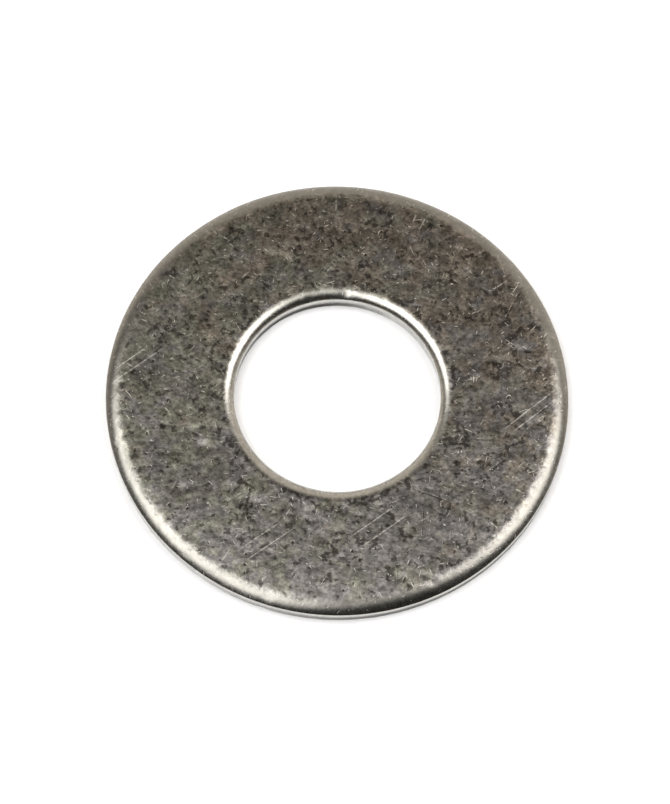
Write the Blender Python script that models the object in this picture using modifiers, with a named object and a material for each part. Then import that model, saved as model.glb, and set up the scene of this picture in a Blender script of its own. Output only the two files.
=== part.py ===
"""A plain round flat washer for a 3/8 inch bolt, stamped from stainless sheet.

The washer is one turned body. Its cross-section is a closed outline that a Screw modifier turns
about Z. The press punches the bore and the rim in one stroke, from the same side, so both upper
edges are drawn down into a broad roll, while both lower edges only have the small radius that
tumbling gives them. Below each roll the wall is a straight burnished band, and below that the metal
has broken away, so the wall leans slightly away from the burnished band.

Units are metres. The underside lies on Z = 0, and Z is the washer's axis.
"""

import math

import bpy

# Driving dimensions
OUTER_DIAMETER = 0.0222
BORE_DIAMETER = 0.00992
THICKNESS = 0.00105

# The roll that the press leaves on the upper edges: how far in it starts, and how deep it goes
RIM_ROLL_WIDTH = 0.00095
RIM_ROLL_DEPTH = 0.00036
BORE_ROLL_WIDTH = 0.00062
BORE_ROLL_DEPTH = 0.00035

# The walls below the rolls
BREAK_HEIGHT = 0.00042
BREAK_LEAN = 0.00003
LOWER_EDGE_RADIUS = 0.0002

# Facets
TURN_STEPS = 96
RIM_ROLL_STEPS = 7
BORE_ROLL_STEPS = 6
LOWER_EDGE_STEPS = 3

STEEL_COLOUR = (0.40, 0.385, 0.355, 1.0)
STEEL_ROUGHNESS = 0.42


def clear_scene():
    for thing in list(bpy.data.objects):
        bpy.data.objects.remove(thing, do_unlink=True)


def arc(centre, across, down, start_deg, end_deg, steps):
    """Points (r, z) along an ellipse; 0 degrees is its outer side, and 90 is its top."""
    points = []
    for step in range(steps + 1):
        angle = math.radians(start_deg + (end_deg - start_deg) * step / steps)
        r = centre[0] + across * math.cos(angle)
        z = centre[1] + down * math.sin(angle)
        points.append((r, z))
    return points


def washer_section():
    """The closed outline, from the flat top down the rim, in along the underside and up the bore."""
    rim = OUTER_DIAMETER / 2
    bore = BORE_DIAMETER / 2
    edge = LOWER_EDGE_RADIUS
    rim_roll_centre = (rim - RIM_ROLL_WIDTH, THICKNESS - RIM_ROLL_DEPTH)
    rim_foot_centre = (rim - BREAK_LEAN - edge, edge)
    bore_foot_centre = (bore + BREAK_LEAN + edge, edge)
    bore_roll_centre = (bore + BORE_ROLL_WIDTH, THICKNESS - BORE_ROLL_DEPTH)
    outline = arc(rim_roll_centre, RIM_ROLL_WIDTH, RIM_ROLL_DEPTH, 90, 0, RIM_ROLL_STEPS)
    outline.append((rim, BREAK_HEIGHT))
    outline += arc(rim_foot_centre, edge, edge, 0, -90, LOWER_EDGE_STEPS)
    outline += arc(bore_foot_centre, edge, edge, 270, 180, LOWER_EDGE_STEPS)
    outline.append((bore, BREAK_HEIGHT))
    outline += arc(bore_roll_centre, BORE_ROLL_WIDTH, BORE_ROLL_DEPTH, 180, 90, BORE_ROLL_STEPS)
    return outline


def section_mesh(name, outline):
    """The outline as a closed loop of edges in the XZ plane, on the +X side of the axis."""
    mesh = bpy.data.meshes.new(name)
    vertices = [(r, 0.0, z) for r, z in outline]
    edges = [(i, (i + 1) % len(outline)) for i in range(len(outline))]
    mesh.from_pydata(vertices, edges, [])
    return mesh


def turn_about_z(thing):
    """A full turn closes the ring on itself. No point lies on the axis, so nothing is merged."""
    screw = thing.modifiers.new("Turn", "SCREW")
    screw.axis = "Z"
    screw.angle = math.tau
    screw.steps = TURN_STEPS
    screw.render_steps = TURN_STEPS
    screw.use_merge_vertices = False
    screw.use_smooth_shade = True


def stainless_steel():
    material = bpy.data.materials.new("tumbled_stainless")
    material.use_nodes = True
    shader = material.node_tree.nodes["Principled BSDF"]
    shader.inputs["Base Color"].default_value = STEEL_COLOUR
    shader.inputs["Metallic"].default_value = 1.0
    shader.inputs["Roughness"].default_value = STEEL_ROUGHNESS
    return material


def build_washer(collection):
    mesh = section_mesh("washer_section", washer_section())
    mesh.materials.append(stainless_steel())
    washer = bpy.data.objects.new("washer", mesh)
    collection.objects.link(washer)
    turn_about_z(washer)
    return washer


def main():
    clear_scene()
    collection = bpy.data.collections.new("flat_washer")
    bpy.context.scene.collection.children.link(collection)
    build_washer(collection)


main()
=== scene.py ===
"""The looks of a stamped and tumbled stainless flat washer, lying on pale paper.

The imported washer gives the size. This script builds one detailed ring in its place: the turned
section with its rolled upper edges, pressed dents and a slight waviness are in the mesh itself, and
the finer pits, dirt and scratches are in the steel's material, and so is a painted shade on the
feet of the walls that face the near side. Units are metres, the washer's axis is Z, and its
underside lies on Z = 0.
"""

import math

import bpy
import numpy as np
from mathutils import Matrix, Vector, noise


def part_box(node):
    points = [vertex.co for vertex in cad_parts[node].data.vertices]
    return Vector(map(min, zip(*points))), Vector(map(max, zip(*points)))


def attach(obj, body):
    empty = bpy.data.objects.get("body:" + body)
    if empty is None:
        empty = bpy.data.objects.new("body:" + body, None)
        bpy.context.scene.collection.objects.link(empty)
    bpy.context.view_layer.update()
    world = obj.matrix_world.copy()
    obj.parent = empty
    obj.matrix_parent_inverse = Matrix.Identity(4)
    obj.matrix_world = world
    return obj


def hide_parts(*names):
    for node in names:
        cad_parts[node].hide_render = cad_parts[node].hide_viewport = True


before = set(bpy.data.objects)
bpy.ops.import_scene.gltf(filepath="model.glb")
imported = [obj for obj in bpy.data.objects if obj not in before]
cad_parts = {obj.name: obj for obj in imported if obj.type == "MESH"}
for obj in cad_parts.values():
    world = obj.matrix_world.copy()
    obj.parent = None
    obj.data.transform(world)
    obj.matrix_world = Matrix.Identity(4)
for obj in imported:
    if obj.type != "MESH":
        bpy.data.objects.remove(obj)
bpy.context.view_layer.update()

MM = 0.001
BODY = "root"
NODE = "washer"

# The washer's size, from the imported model
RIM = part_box(NODE)[1].x
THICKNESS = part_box(NODE)[1].z
BORE = min(math.hypot(v.co.x, v.co.y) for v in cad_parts[NODE].data.vertices)

# The section: rolled upper edges, a slight fall of the upper face toward the rim, burnished walls,
# a broken band below them that leans away, and rounded feet
RIM_ROLL_WIDTH = 0.90 * MM
RIM_ROLL_DEPTH = 0.27 * MM
BORE_ROLL_WIDTH = 0.62 * MM
BORE_ROLL_DEPTH = 0.27 * MM
CORNER_RADIUS = 0.035 * MM
RIM_FALL_WIDTH = 2.0 * MM
RIM_FALL_DEPTH = 0.085 * MM
BREAK_HEIGHT = 0.46 * MM
BREAK_LEAN = 0.012 * MM
FOOT_RADIUS = 0.04 * MM

# How finely the ring is divided
TURN_STEPS = 700
FACE_STEPS = 46
RIM_ROLL_STEPS = 20
BORE_ROLL_STEPS = 12
CORNER_STEPS = 3
WALL_STEPS = 3
BREAK_STEPS = 3
FOOT_STEPS = 4
UNDERSIDE_STEPS = 38


def arc(centre, radius, start_deg, end_deg, steps):
    """Points (r, z) along a circle; 0 degrees is its outer side, and 90 is its top."""
    turn = np.radians(np.linspace(start_deg, end_deg, steps + 1))
    return np.stack([centre[0] + radius * np.cos(turn), centre[1] + radius * np.sin(turn)], 1)


def straight(start, end, steps):
    """Evenly spaced points (r, z) from start to end."""
    share = np.linspace(0, 1, steps + 1)[:, None]
    return np.array(start) * (1 - share) + np.array(end) * share


def roll(width, depth, steps):
    """A drawn-down edge (how far out, how far down): a broad curve that ends in a tight corner."""
    radius = (width**2 + depth**2) / (2 * depth)
    tight = CORNER_RADIUS
    reach = radius - tight
    corner_drop = radius - math.sqrt(reach**2 - (width - tight) ** 2)
    meeting = 90 - math.degrees(math.asin((width - tight) / reach))
    broad = arc((0, -radius), radius, 90, meeting, steps)
    corner = arc((width - tight, -corner_drop), tight, meeting, 0, CORNER_STEPS)
    return np.concatenate([broad[:-1], corner])


def fallen(run):
    """The run lowered by the upper face's slight fall, which starts some way in from the rim."""
    share = np.clip((run[:, 0] - RIM) / RIM_FALL_WIDTH + 1, 0, 1)
    return run - np.stack([np.zeros(len(run)), RIM_FALL_DEPTH * share**2], 1)


def section():
    """The closed outline (r, z), out along the flat top, down the rim, in below and up the bore."""
    foot = FOOT_RADIUS
    rim_roll = roll(RIM_ROLL_WIDTH, RIM_ROLL_DEPTH, RIM_ROLL_STEPS)
    rim_roll = np.array([RIM - RIM_ROLL_WIDTH, THICKNESS]) + rim_roll
    bore_roll = roll(BORE_ROLL_WIDTH, BORE_ROLL_DEPTH, BORE_ROLL_STEPS)
    bore_roll = np.array([BORE + BORE_ROLL_WIDTH, THICKNESS]) + bore_roll * (-1, 1)
    bore_roll = bore_roll[::-1]
    wall_top = (RIM, rim_roll[-1][1] - RIM_FALL_DEPTH)
    rim_foot = (RIM - BREAK_LEAN - foot, foot)
    bore_foot = (BORE + BREAK_LEAN + foot, foot)
    runs = [
        fallen(straight(bore_roll[-1], rim_roll[0], FACE_STEPS)),
        fallen(rim_roll),
        straight(wall_top, (RIM, BREAK_HEIGHT), WALL_STEPS),
        straight((RIM, BREAK_HEIGHT), (RIM - BREAK_LEAN, foot), BREAK_STEPS),
        arc(rim_foot, foot, 0, -90, FOOT_STEPS),
        straight((rim_foot[0], 0), (bore_foot[0], 0), UNDERSIDE_STEPS),
        arc(bore_foot, foot, 270, 180, FOOT_STEPS),
        straight((BORE + BREAK_LEAN, foot), (BORE, BREAK_HEIGHT), BREAK_STEPS),
        straight((BORE, BREAK_HEIGHT), bore_roll[0], WALL_STEPS),
        bore_roll,
    ]
    return np.concatenate([run[:-1] for run in runs])


def section_normals(outline):
    """The outward normal (r, z) at each point of the closed outline."""
    along = np.roll(outline, -1, 0) - np.roll(outline, 1, 0)
    normal = np.stack([-along[:, 1], along[:, 0]], 1)
    return normal / np.linalg.norm(normal, axis=1)[:, None]


def turned(pairs):
    """Each (r, z) pair swept round the axis: an array of rows, one row a point of the outline."""
    turn = np.arange(TURN_STEPS) * math.tau / TURN_STEPS
    x = np.outer(pairs[:, 0], np.cos(turn))
    y = np.outer(pairs[:, 0], np.sin(turn))
    z = np.repeat(pairs[:, 1:], TURN_STEPS, 1)
    return np.stack([x, y, z], -1).reshape(-1, 3)


# Dents that tumbling with other washers leaves, pressed into the mesh
DENT_COUNT = 420
DENT_SEED = 38
DENT_RADIUS = (0.14 * MM, 0.46 * MM)
DENT_DEPTH_SHARE = (0.02, 0.06)
WAVE_LENGTH = 2.6 * MM
WAVE_HEIGHT = 0.008 * MM
RIPPLE_LENGTH = 0.75 * MM
RIPPLE_HEIGHT = 0.0035 * MM


def waviness(points):
    """The slight unevenness of rolled and tumbled sheet, in metres along the normal."""
    height = np.empty(len(points))
    for i, point in enumerate(points):
        place = Vector(point)
        wave = noise.noise(place / WAVE_LENGTH)
        ripple = noise.noise(place / RIPPLE_LENGTH)
        height[i] = WAVE_HEIGHT * wave + RIPPLE_HEIGHT * ripple
    return height


def dents(points):
    """Shallow oval dents scattered over both faces and the rolled edges."""
    random = np.random.default_rng(DENT_SEED)
    height = np.zeros(len(points))
    for _ in range(DENT_COUNT):
        turn = random.uniform(0, math.tau)
        reach = math.sqrt(random.uniform(BORE**2, RIM**2))
        level = THICKNESS * random.integers(0, 2)
        radius = DENT_RADIUS[0] + (DENT_RADIUS[1] - DENT_RADIUS[0]) * random.uniform() ** 2
        depth = radius * random.uniform(*DENT_DEPTH_SHARE)
        lean = random.uniform(0, math.pi)
        stretch = random.uniform(1.0, 2.2)
        offset = points - np.array([reach * math.cos(turn), reach * math.sin(turn), level])
        near = np.nonzero(np.abs(offset).max(1) < radius * stretch)[0]
        along = offset[near, 0] * math.cos(lean) + offset[near, 1] * math.sin(lean)
        across = offset[near, 1] * math.cos(lean) - offset[near, 0] * math.sin(lean)
        inside = 1 - (along / stretch) ** 2 / radius**2 - across**2 / radius**2
        inside -= offset[near, 2] ** 2 / radius**2
        height[near] -= depth * np.clip(inside, 0, 1) ** 2
    return height


def ring_faces(rows):
    """Quads between neighbouring rows; the last row joins the first, so the ring is closed."""
    row, step = np.meshgrid(np.arange(rows), np.arange(TURN_STEPS), indexing="ij")
    next_row = (row + 1) % rows
    next_step = (step + 1) % TURN_STEPS
    corners = [
        row * TURN_STEPS + step,
        next_row * TURN_STEPS + step,
        next_row * TURN_STEPS + next_step,
        row * TURN_STEPS + next_step,
    ]
    return np.stack(corners, -1).reshape(-1, 4)


def unrolled_map(mesh, outline):
    """A UV map: the ring cut into two halves, each unrolled flat, one above the other."""
    margin = 0.004
    half = TURN_STEPS // 2
    lengths = np.linalg.norm(np.roll(outline, -1, 0) - outline, axis=1)
    share = np.concatenate([[0], np.cumsum(lengths)]) / lengths.sum()
    row, step = np.meshgrid(np.arange(len(outline)), np.arange(TURN_STEPS), indexing="ij")
    left = (step % half) / half
    right = (step % half + 1) / half
    lower = share[row]
    upper = share[row + 1]
    u = np.stack([left, left, right, right], -1)
    v = np.stack([lower, upper, upper, lower], -1)
    u = margin + (1 - 2 * margin) * u
    v = (step // half)[..., None] / 2 + margin + (0.5 - 2 * margin) * v
    layer = mesh.uv_layers.new(name="OFBake")
    layer.data.foreach_set("uv", np.stack([u, v], -1).astype(np.float32).ravel())


# Painted shade on the lower half of the walls, standing in for the shadowed floor that the walls
# mirror on the near side: where it is full, where it ends, and the side it faces
FOOT_SHADE_FULL = 0.32 * MM
FOOT_SHADE_END = 0.54 * MM
FOOT_SHADE_SIDE = math.radians(300)


def wear_and_foot_shade(outline):
    """At each point of the outline: how rubbed it is, how burnished, and how much painted shade its
    wall takes, from 0 to 1.
    """
    tilt = np.degrees(np.arccos(np.clip(np.abs(section_normals(outline)[:, 1]), 0, 1)))
    on_bore = outline[:, 0] < (RIM + BORE) / 2
    rubbed = np.clip(np.where(on_bore, (tilt - 4) / 14, (tilt - 6) / 16), 0, 1)
    burnished = np.clip((tilt - 24) / 44, 0, 1)
    foot_shade = np.clip((FOOT_SHADE_END - outline[:, 1]) / (FOOT_SHADE_END - FOOT_SHADE_FULL), 0, 1)
    foot_shade *= np.clip(tilt / 30, 0, 1) * np.where(on_bore, 0.92, 0.74)
    return {"rubbed": rubbed, "burnished": burnished, "painted_foot_shade": foot_shade}


def painted_shade_side(normals):
    """From 0 to 1: how far each point's wall faces the side that takes the painted shade."""
    level = np.hypot(normals[:, 0], normals[:, 1]) + 1e-9
    facing = normals[:, 0] * math.cos(FOOT_SHADE_SIDE) + normals[:, 1] * math.sin(FOOT_SHADE_SIDE)
    return np.clip((facing / level - 0.45) / 0.50, 0, 1)


def point_value(mesh, name, values):
    """Write one number on each of the mesh's points."""
    attribute = mesh.attributes.new(name, "FLOAT", "POINT")
    attribute.data.foreach_set("value", values.astype(np.float32))


def build_washer():
    """The detailed ring, with its rubbing, burnishing and painted foot shade written on its points
    for the material to read.
    """
    outline = section()
    normals = turned(section_normals(outline))
    points = turned(outline)
    points += normals * (waviness(points) + dents(points))[:, None]
    mesh = bpy.data.meshes.new("tumbled_washer")
    mesh.from_pydata(points.tolist(), [], ring_faces(len(outline)).tolist())
    mesh.shade_smooth()
    unrolled_map(mesh, outline)
    worn_and_shaded = {name: np.repeat(values, TURN_STEPS) for name, values in wear_and_foot_shade(outline).items()}
    # The painted shade is kept to the walls that face the near side, where they mirror the floor's
    # shadow.
    worn_and_shaded["painted_foot_shade"] *= painted_shade_side(normals)
    for name, values in worn_and_shaded.items():
        point_value(mesh, name, values)
    washer = bpy.data.objects.new("tumbled_washer", mesh)
    bpy.context.scene.collection.objects.link(washer)
    return washer


class Graph:
    """Adds nodes to one material's tree. Inputs are sockets or plain values."""

    def __init__(self, tree):
        self.tree = tree

    def put(self, node, socket, value):
        """Link or set one input; None leaves it as it is."""
        if isinstance(value, bpy.types.NodeSocket):
            self.tree.links.new(value, node.inputs[socket])
        elif value is not None:
            node.inputs[socket].default_value = value

    def add(self, kind, inputs=(), **settings):
        node = self.tree.nodes.new(kind)
        for name, value in settings.items():
            setattr(node, name, value)
        for socket, value in dict(inputs).items():
            self.put(node, socket, value)
        return node

    def math(self, operation, a, b=None, c=None):
        inputs = {0: a, 1: b, 2: c}
        return self.add("ShaderNodeMath", inputs, operation=operation).outputs[0]

    def vector(self, operation, a, b=None, scale=None):
        inputs = {0: a, 1: b, "Scale": scale}
        node = self.add("ShaderNodeVectorMath", inputs, operation=operation)
        return node.outputs["Value" if operation in ("LENGTH", "DOT_PRODUCT") else "Vector"]

    def ramp(self, value, low, high, out_low=0.0, out_high=1.0):
        """A smooth step from out_low, where value is low, to out_high, where value is high."""
        inputs = {"Value": value, 1: low, 2: high, 3: out_low, 4: out_high}
        node = self.add("ShaderNodeMapRange", inputs, interpolation_type="SMOOTHSTEP")
        return node.outputs["Result"]

    def noise(self, vector, scale, detail, roughness):
        inputs = {"Vector": vector, "Scale": scale, "Detail": detail, "Roughness": roughness}
        return self.add("ShaderNodeTexNoise", inputs).outputs["Fac"]

    def mix(self, share, a, b):
        """Two colours mixed, from a where share is 0 to b where it is 1."""
        node = self.add("ShaderNodeMix", data_type="RGBA")
        for socket, value in ((0, share), (6, a), (7, b)):
            self.put(node, socket, value)
        return node.outputs[2]


# Colours of the steel and of what lies on it (linear)
STEEL = (0.196, 0.187, 0.168, 1)
OLIVE = (0.184, 0.184, 0.150, 1)
BROWN = (0.206, 0.178, 0.148, 1)
SLATE = (0.186, 0.177, 0.172, 1)
RIM_FILM = (0.235, 0.226, 0.206, 1)
BORE_FILM = (0.37, 0.36, 0.33, 1)
BURNISHED = (0.56, 0.55, 0.52, 1)
# The darkest colour: dirt in the blots, pits and creases, and also the painted shade on the near
# walls' feet
GRIME_AND_PAINTED_SHADE = (0.020, 0.017, 0.014, 1)
BRIGHT_METAL = (0.55, 0.53, 0.49, 1)

# Marks on the upper face, with lengths and widths in millimetres. Long scratches come in pairs that
# all lean much the same way, nicks run outward at the rim, and dark creases lie any way round.
MARK_SEED = 5
SCRATCH_PAIRS = 4
SCRATCH_LEAN = math.radians(40)
SCRATCH_LEAN_SPREAD = math.radians(3)
SCRATCH_LENGTH = (2.0, 4.0)
SCRATCH_GAP = (0.3, 0.8)
SCRATCH_WIDTH = (0.028, 0.040)
NICKS = 10
NICK_LENGTH = (0.3, 0.8)
NICK_WIDTH = (0.034, 0.042)
CREASES = 12
CREASE_LENGTH = (0.5, 2.2)
CREASE_WIDTH = (0.04, 0.10)


def mark(middle, lean, length, width):
    """One straight mark: start (x, y), end (x, y) and width."""
    reach = (length / 2 * math.cos(lean), length / 2 * math.sin(lean))
    start = (middle[0] - reach[0], middle[1] - reach[1])
    end = (middle[0] + reach[0], middle[1] + reach[1])
    return start, end, width


def place_on_face(random):
    """A random place (x, y) on the flat of the upper face."""
    turn = random.uniform(0, math.tau)
    inner = (BORE + BORE_ROLL_WIDTH) / MM
    outer = (RIM - RIM_ROLL_WIDTH) / MM
    reach = math.sqrt(random.uniform(inner**2, outer**2))
    return reach * math.cos(turn), reach * math.sin(turn)


def paired_scratches(random):
    """Long scratches, each with a second one beside it."""
    marks = []
    for _ in range(SCRATCH_PAIRS):
        x, y = place_on_face(random)
        lean = SCRATCH_LEAN + random.uniform(-1, 1) * SCRATCH_LEAN_SPREAD
        gap = random.uniform(*SCRATCH_GAP)
        beside = (x + gap * math.sin(lean), y - gap * math.cos(lean))
        for middle in ((x, y), beside):
            length = random.uniform(*SCRATCH_LENGTH)
            marks.append(mark(middle, lean, length, random.uniform(*SCRATCH_WIDTH)))
    return marks


def rim_nicks(random):
    """Short nicks that run outward and end where the rim's roll begins."""
    marks = []
    for _ in range(NICKS):
        turn = random.uniform(0, math.tau)
        length = random.uniform(*NICK_LENGTH)
        reach = (RIM - RIM_ROLL_WIDTH) / MM - length / 2
        middle = (reach * math.cos(turn), reach * math.sin(turn))
        marks.append(mark(middle, turn, length, random.uniform(*NICK_WIDTH)))
    return marks


def creases(random):
    """Dark creases in the skin."""
    marks = []
    for _ in range(CREASES):
        middle = place_on_face(random)
        lean = random.uniform(0, math.pi)
        length = random.uniform(*CREASE_LENGTH)
        marks.append(mark(middle, lean, length, random.uniform(*CREASE_WIDTH)))
    return marks


# How rough the steel is, and what each mark adds to it
BASE_ROUGHNESS = 0.18
GRAIN_ROUGHNESS = 0.10
SCRATCH_ROUGHNESS = 0.16
BURNISHED_ROUGHNESS = -0.06
# Extra roughness where the wall feet carry painted shade
PAINTED_SHADE_ROUGHNESS = 0.30

# How far each kind of unevenness stands up, in millimetres; rubbed edges keep a share of it
GRAIN_HEIGHT = 0.0035
SWELL_HEIGHT = 0.009
BLOT_HEIGHT = -0.009
PIT_HEIGHT = -0.010
CREASE_HEIGHT = -0.006
SCRATCH_HEIGHT = -0.003
RUBBED_SHARE = 0.30


def place_in_mm(g):
    """The point on the washer, in millimetres."""
    place = g.add("ShaderNodeTexCoord").outputs["Object"]
    return g.vector("SCALE", place, scale=1 / MM)


def flat_place(g, place):
    """The point seen from above, with the underside's set far from the upper face's."""
    parts = g.add("ShaderNodeSeparateXYZ", {0: place})
    below = g.math("LESS_THAN", parts.outputs[2], THICKNESS / MM / 2)
    shifted = g.math("MULTIPLY_ADD", below, 60.0, parts.outputs[0])
    return g.add("ShaderNodeCombineXYZ", {0: shifted, 1: parts.outputs[1]}).outputs[0]


def short_scratches(g, flat, scale, half_length, half_width, share, seed):
    """A mask of short straight scratches, at most one in each cell, each turned its own way."""
    moved = g.vector("ADD", flat, (seed, seed * 0.7, 0))
    cell = g.add(
        "ShaderNodeTexVoronoi", {"Vector": moved, "Scale": scale}, voronoi_dimensions="2D"
    )
    random = g.add("ShaderNodeSeparateColor", {0: cell.outputs["Color"]})
    offset = g.vector("SUBTRACT", moved, cell.outputs["Position"])
    lean = g.math("MULTIPLY", random.outputs[0], math.tau)
    turned_offset = g.add(
        "ShaderNodeVectorRotate", {"Vector": offset, "Angle": lean}, rotation_type="Z_AXIS"
    )
    parts = g.add("ShaderNodeSeparateXYZ", {0: turned_offset.outputs[0]})
    along = g.math("ABSOLUTE", parts.outputs[0])
    bent = g.math("MULTIPLY_ADD", g.math("MULTIPLY", along, along), 0.25, parts.outputs[1])
    length = g.math("MULTIPLY_ADD", random.outputs[1], half_length * 0.8, half_length * 0.2)
    ends = g.ramp(g.math("DIVIDE", along, length), 0.4, 1.0, 1.0, 0.0)
    line = g.ramp(g.math("ABSOLUTE", bent), half_width * 0.2, half_width, 1.0, 0.0)
    strength = g.math("POWER", g.ramp(random.outputs[2], 0.0, share, 1.0, 0.0), 2.0)
    return g.math("MULTIPLY", g.math("MULTIPLY", ends, line), strength)


def long_scratch(g, flat, start, end, width):
    """A mask along one straight scratch, fading at both of its ends."""
    run = Vector((end[0] - start[0], end[1] - start[1], 0))
    offset = g.vector("SUBTRACT", flat, (start[0], start[1], 0))
    reach = g.math("DIVIDE", g.vector("DOT_PRODUCT", offset, tuple(run)), run.length_squared)
    held = g.math("MINIMUM", g.math("MAXIMUM", reach, 0.0), 1.0)
    nearest = g.add("ShaderNodeVectorMath", {0: tuple(run), "Scale": held}, operation="SCALE")
    distance = g.vector("LENGTH", g.vector("SUBTRACT", offset, nearest.outputs[0]))
    line = g.ramp(distance, width * 0.2, width * 1.4, 1.0, 0.0)
    middle = g.math("ABSOLUTE", g.math("SUBTRACT", held, 0.5))
    return g.math("MULTIPLY", line, g.ramp(middle, 0.3, 0.5, 1.0, 0.25))


def largest(g, masks):
    """The strongest of several masks at each point."""
    strongest = masks[0]
    for mask in masks[1:]:
        strongest = g.math("MAXIMUM", strongest, mask)
    return strongest


def toward(g, place, direction, amount):
    """A value that grows across the washer in one direction, to bias a patchy noise."""
    return g.math("MULTIPLY", g.vector("DOT_PRODUCT", place, direction), amount)


def steel_tints(g, place):
    """Patches of olive, brown and slate grey in the tumbled skin."""
    olive = g.math("ADD", g.noise(place, 0.6, 3.0, 0.65), toward(g, place, (-1, 0, 0), 0.010))
    brown = g.noise(g.vector("ADD", place, (31, 7, 5)), 0.5, 3.0, 0.65)
    brown = g.math("ADD", brown, toward(g, place, (0.6, 0.8, 0), 0.014))
    slate = g.noise(g.vector("ADD", place, (3, 41, 9)), 0.8, 3.0, 0.65)
    slate = g.math("ADD", slate, toward(g, place, (0.2, -1, 0), 0.010))
    colour = g.mix(g.ramp(olive, 0.38, 0.62), STEEL, OLIVE)
    colour = g.mix(g.ramp(brown, 0.44, 0.68), colour, BROWN)
    return g.mix(g.ramp(slate, 0.44, 0.66), colour, SLATE)


def centred(g, value, amount, middle=0.5):
    """One plus the value's distance from the middle, times the amount."""
    return g.math("MULTIPLY_ADD", g.math("SUBTRACT", value, middle), amount, 1.0)


def mottling(g, place):
    """The uneven tone of the skin, from patches a couple of millimetres wide to fine grain."""
    broad = g.noise(place, 0.7, 2.0, 0.95)
    middling = g.noise(g.vector("ADD", place, (17, 5, 2)), 2.4, 1.0, 0.9)
    grain = g.noise(place, 7.0, 1.0, 0.6)
    tone = g.math("MULTIPLY", centred(g, broad, 1.7), centred(g, middling, 1.65))
    return g.math("MULTIPLY", tone, centred(g, grain, 1.25)), middling, grain


def dark_marks(g, place, axis_distance):
    """Masks of grimy blots, which crowd together and round the bore, and of single round pits."""
    warp = g.add("ShaderNodeTexNoise", {"Vector": place, "Scale": 3.0, "Detail": 1.0})
    push = g.vector("SUBTRACT", warp.outputs["Color"], (0.5, 0.5, 0.5))
    warped = g.vector("ADD", place, g.vector("SCALE", push, scale=0.22))
    crowd = g.ramp(g.noise(place, 0.8, 3.0, 0.6), 0.38, 0.64)
    ring = g.ramp(axis_distance, (BORE + BORE_ROLL_WIDTH) / MM, BORE / MM + 1.4, 1.0, 0.0)
    crowd = g.math("MAXIMUM", crowd, ring)
    blots = g.noise(warped, 3.4, 2.0, 0.5)
    edge = g.math("MULTIPLY_ADD", crowd, -0.11, 0.625)
    blot = g.ramp(g.math("SUBTRACT", blots, edge), 0.0, 0.09)
    cell = g.add("ShaderNodeTexVoronoi", {"Vector": warped, "Scale": 2.8})
    size = g.add("ShaderNodeSeparateColor", {0: cell.outputs["Color"]}).outputs[0]
    reach = g.math("MULTIPLY_ADD", g.math("POWER", size, 4.0), 0.30, 0.010)
    pit = g.ramp(g.math("DIVIDE", cell.outputs["Distance"], reach), 0.45, 1.15, 1.0, 0.0)
    return blot, pit, blots


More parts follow.
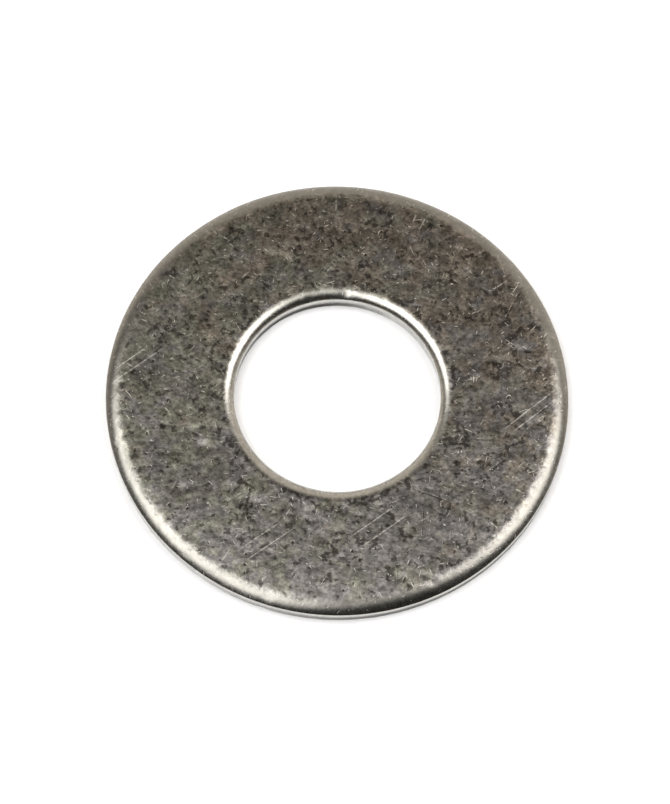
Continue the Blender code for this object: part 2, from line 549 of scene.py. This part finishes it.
def tumbled_steel():
    """Stainless steel as tumbling leaves it: pitted, scratched and grimy, bright on the edges, with
    painted shade on the near walls' feet.
    """
    material = bpy.data.materials.new("tumbled_steel")
    material.use_nodes = True
    g = Graph(material.node_tree)
    shader = material.node_tree.nodes["Principled BSDF"]
    place = place_in_mm(g)
    flat = flat_place(g, place)
    rubbed = g.add("ShaderNodeAttribute", attribute_name="rubbed").outputs["Fac"]
    burnished = g.add("ShaderNodeAttribute", attribute_name="burnished").outputs["Fac"]
    # The painted shade at the feet of the near-facing walls
    painted_foot_shade = g.add("ShaderNodeAttribute", attribute_name="painted_foot_shade").outputs["Fac"]
    axis_distance = g.vector("LENGTH", g.vector("MULTIPLY", place, (1, 1, 0)))
    on_bore = g.math("LESS_THAN", axis_distance, (RIM + BORE) / 2 / MM)

    tone, middling, grain = mottling(g, place)
    blot, pit, blots = dark_marks(g, place, axis_distance)
    broken = g.ramp(g.noise(place, 6.0, 2.0, 0.6), 0.34, 0.58, 0.25, 1.0)
    random = np.random.default_rng(MARK_SEED)
    crease = largest(g, [long_scratch(g, flat, *line) for line in creases(random)])
    crease = g.math("MULTIPLY", crease, broken)
    short = [
        short_scratches(g, flat, 1.7, 0.22, 0.024, 0.55, 0.0),
        short_scratches(g, flat, 1.1, 0.36, 0.020, 0.55, 11.0),
        short_scratches(g, flat, 2.9, 0.13, 0.030, 0.55, 23.0),
    ]
    lines = paired_scratches(random) + rim_nicks(random)
    long = [long_scratch(g, flat, *line) for line in lines]
    long = g.math("MULTIPLY", largest(g, long), broken)
    short = g.math("MULTIPLY", largest(g, short), 0.85)
    scratch = g.math("MAXIMUM", short, g.math("MULTIPLY", long, 0.75))

    dark = g.math("MAXIMUM", g.math("MULTIPLY", blot, 0.70), g.math("MULTIPLY", pit, 0.85))
    dark = g.math("MAXIMUM", dark, g.math("MULTIPLY", crease, 0.75))
    dark = g.math("MULTIPLY", dark, g.ramp(rubbed, 0.0, 1.0, 1.0, 0.12))
    tone = g.ramp(rubbed, 0.0, 1.0, tone, centred(g, tone, 0.22, 1.0))
    film = g.mix(on_bore, RIM_FILM, BORE_FILM)
    film = g.mix(burnished, film, BURNISHED)
    colour = g.mix(rubbed, steel_tints(g, place), film)
    colour = g.vector("SCALE", colour, scale=tone)
    colour = g.mix(dark, colour, GRIME_AND_PAINTED_SHADE)
    colour = g.mix(g.math("MULTIPLY", scratch, 0.75), colour, BRIGHT_METAL)
    # Painted shade: the feet of the near-facing walls are darkened, standing in for the shadowed
    # floor that they mirror
    colour = g.mix(painted_foot_shade, colour, GRIME_AND_PAINTED_SHADE)
    g.put(shader, "Base Color", colour)
    # Painted shade: less metal where the wall feet are darkened
    g.put(shader, "Metallic", g.math("SUBTRACT", 1.0, painted_foot_shade))
    shader.inputs["Specular IOR Level"].default_value = 0.1

    roughness = g.math("MULTIPLY_ADD", grain, GRAIN_ROUGHNESS, BASE_ROUGHNESS)
    roughness = g.math("MULTIPLY_ADD", scratch, SCRATCH_ROUGHNESS, roughness)
    roughness = g.math("MULTIPLY_ADD", burnished, BURNISHED_ROUGHNESS, roughness)
    roughness = g.math("MULTIPLY_ADD", painted_foot_shade, PAINTED_SHADE_ROUGHNESS, roughness)
    g.put(shader, "Roughness", roughness)

    height = g.math("MULTIPLY", g.math("SUBTRACT", grain, 0.5), GRAIN_HEIGHT)
    height = g.math("MULTIPLY_ADD", middling, SWELL_HEIGHT, height)
    height = g.math("MULTIPLY_ADD", blots, BLOT_HEIGHT, height)
    height = g.math("MULTIPLY_ADD", pit, PIT_HEIGHT, height)
    height = g.math("MULTIPLY_ADD", crease, CREASE_HEIGHT, height)
    height = g.math("MULTIPLY_ADD", scratch, SCRATCH_HEIGHT, height)
    height = g.math("MULTIPLY", height, g.ramp(rubbed, 0.0, 1.0, 1.0, RUBBED_SHARE))
    bump = g.add("ShaderNodeBump", {"Strength": 1.0, "Distance": MM, "Height": height})
    g.put(shader, "Normal", bump.outputs[0])
    return material


PAPER = (0.89, 0.90, 0.925, 1)
PAPER_BRIGHT = (0.91, 0.92, 0.945, 1)


def paper():
    """White paper, with the faintest grain."""
    material = bpy.data.materials.new("paper")
    material.use_nodes = True
    g = Graph(material.node_tree)
    shader = material.node_tree.nodes["Principled BSDF"]
    grain = g.noise(place_in_mm(g), 3.0, 4.0, 0.6)
    shade = g.ramp(grain, 0.3, 0.7, 0.0, 1.0)
    g.put(shader, "Base Color", g.mix(shade, PAPER, PAPER_BRIGHT))
    shader.inputs["Roughness"].default_value = 0.85
    shader.inputs["Specular IOR Level"].default_value = 0.2
    height = g.math("MULTIPLY", grain, 0.02)
    bump = g.add("ShaderNodeBump", {"Strength": 0.3, "Distance": MM, "Height": height})
    g.put(shader, "Normal", bump.outputs[0])
    return material


# The floor's side, in metres
FLOOR_SIDE = 4.0


def build_floor():
    """A sheet of paper on the plane that the washer lies on."""
    mesh = bpy.data.meshes.new("floor")
    half = FLOOR_SIDE / 2
    corners = [(-half, -half, 0), (half, -half, 0), (half, half, 0), (-half, half, 0)]
    mesh.from_pydata(corners, [], [(0, 1, 2, 3)])
    mesh.materials.append(paper())
    floor = bpy.data.objects.new("floor", mesh)
    bpy.context.scene.collection.objects.link(floor)


# How far the nearest lights are, in metres, and a window's layers, which give it a soft edge: each
# one's size and its share of the light. Each layer lies a little behind the one before it.
LIGHT_DISTANCE = 0.6
LAYER_SPACING = 0.08
WINDOW_LAYERS = ((1.25, 0.25), (1.0, 0.40), (0.8, 0.35))


def window(name, azimuth_deg, elevation_deg, roll_deg, width, height, radiance, colour):
    """An oval patch of light facing the washer; its sizes are per metre of its distance."""
    azimuth = math.radians(azimuth_deg)
    elevation = math.radians(elevation_deg)
    level = math.cos(elevation)
    away = Vector((level * math.cos(azimuth), level * math.sin(azimuth), math.sin(elevation)))
    across = Vector((-away.y, away.x, 0)).normalized()
    turn = Matrix((across, away.cross(across), away)).transposed()
    turn = turn @ Matrix.Rotation(math.radians(roll_deg), 3, "Z")
    for layer, (scale, share) in enumerate(WINDOW_LAYERS):
        distance = LIGHT_DISTANCE * (1 + LAYER_SPACING * layer)
        light = bpy.data.lights.new(f"{name}_{layer}", "AREA")
        light.shape = "ELLIPSE"
        light.size = width * scale * distance
        light.size_y = height * scale * distance
        light.energy = radiance * share * math.pi * (math.pi / 4 * light.size * light.size_y)
        light.color = colour
        lamp = bpy.data.objects.new(light.name, light)
        lamp.matrix_world = Matrix.Translation(away * distance) @ turn.to_4x4()
        bpy.context.scene.collection.objects.link(lamp)


DAYLIGHT = (1.0, 0.99, 0.97)
WARM_LIGHT = (1.0, 0.98, 0.95)


def build_lights():
    """A window on each side, each with a dim glow round it, and a dim patch overhead."""
    window("left", 195, 60, -70, 0.60, 1.25, 4.0, DAYLIGHT)
    window("left_glow", 175, 70, -40, 0.95, 1.15, 0.60, DAYLIGHT)
    window("right", 10, 55, -45, 0.75, 0.60, 4.0, WARM_LIGHT)
    window("right_glow", 15, 60, 10, 0.85, 0.75, 0.65, WARM_LIGHT)
    window("overhead", 270, 85, 0, 0.75, 0.85, 0.90, WARM_LIGHT)


# The room: how bright it is in front, just behind the washer, far behind, in the far corner on the
# right, and low down all round
ROOM_FRONT = 0.02
ROOM_BEHIND = 0.20
ROOM_FAR = 1.20
ROOM_CORNER = 0.60
ROOM_LOW = 0.60
ROOM_COLOUR = (1.0, 0.92, 0.82, 1)
CORNER_DIRECTION = (0.60, 0.70, 0.38)


def build_room():
    """The dim room: dark in front, greyer and then bright behind, and lit low down all round."""
    world = bpy.data.worlds.new("room")
    world.use_nodes = True
    g = Graph(world.node_tree)
    background = world.node_tree.nodes["Background"]
    direction = g.add("ShaderNodeTexCoord").outputs["Generated"]
    parts = g.add("ShaderNodeSeparateXYZ", {0: direction})
    near = g.ramp(parts.outputs[1], -0.30, 0.35, ROOM_FRONT, ROOM_BEHIND)
    back = g.ramp(parts.outputs[1], 0.40, 1.05, near, ROOM_FAR)
    toward_corner = g.vector("DOT_PRODUCT", direction, CORNER_DIRECTION)
    corner = g.ramp(toward_corner, 0.86, 0.98, 0.0, ROOM_CORNER)
    low = g.ramp(parts.outputs[2], 0.20, 0.50, ROOM_LOW, 0.0)
    shade = g.math("ADD", g.math("ADD", back, corner), low)
    g.put(background, "Color", g.mix(shade, (0, 0, 0, 1), ROOM_COLOUR))
    bpy.context.scene.world = world


# The camera: high in front of the washer, turned slightly about its own axis, and aimed a little
# off the washer's centre. Lens and sensor side are in millimetres.
CAMERA_ELEVATION = math.radians(68.15)
CAMERA_ROLL = math.radians(2.74)
CAMERA_DISTANCE = 13.89 * RIM
CAMERA_ASIDE = 0.0091 * RIM
CAMERA_BELOW = 0.0062 * RIM
CAMERA_LENS = 143.3
SENSOR_SIDE = 36.0


def build_camera():
    """A long lens that looks down on the washer."""
    back = Vector((0, -math.cos(CAMERA_ELEVATION), math.sin(CAMERA_ELEVATION)))
    side = Vector((1, 0, 0))
    up = back.cross(side)
    right = side * math.cos(CAMERA_ROLL) + up * math.sin(CAMERA_ROLL)
    above = up * math.cos(CAMERA_ROLL) - side * math.sin(CAMERA_ROLL)
    camera = bpy.data.objects.new("camera", bpy.data.cameras.new("camera"))
    camera.data.sensor_width = SENSOR_SIDE
    camera.data.lens = CAMERA_LENS
    camera.data.clip_start = 0.005
    turn = Matrix((right, above, back)).transposed().to_4x4()
    place = back * CAMERA_DISTANCE - right * CAMERA_ASIDE - above * CAMERA_BELOW
    camera.matrix_world = Matrix.Translation(place) @ turn
    bpy.context.scene.collection.objects.link(camera)
    bpy.context.scene.camera = camera


def main():
    build_camera()
    build_room()
    build_lights()
    build_floor()
    washer = build_washer()
    washer.data.materials.append(tumbled_steel())
    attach(washer, BODY)
    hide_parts(NODE)
    bpy.context.scene.view_settings.view_transform = "Standard"


main()
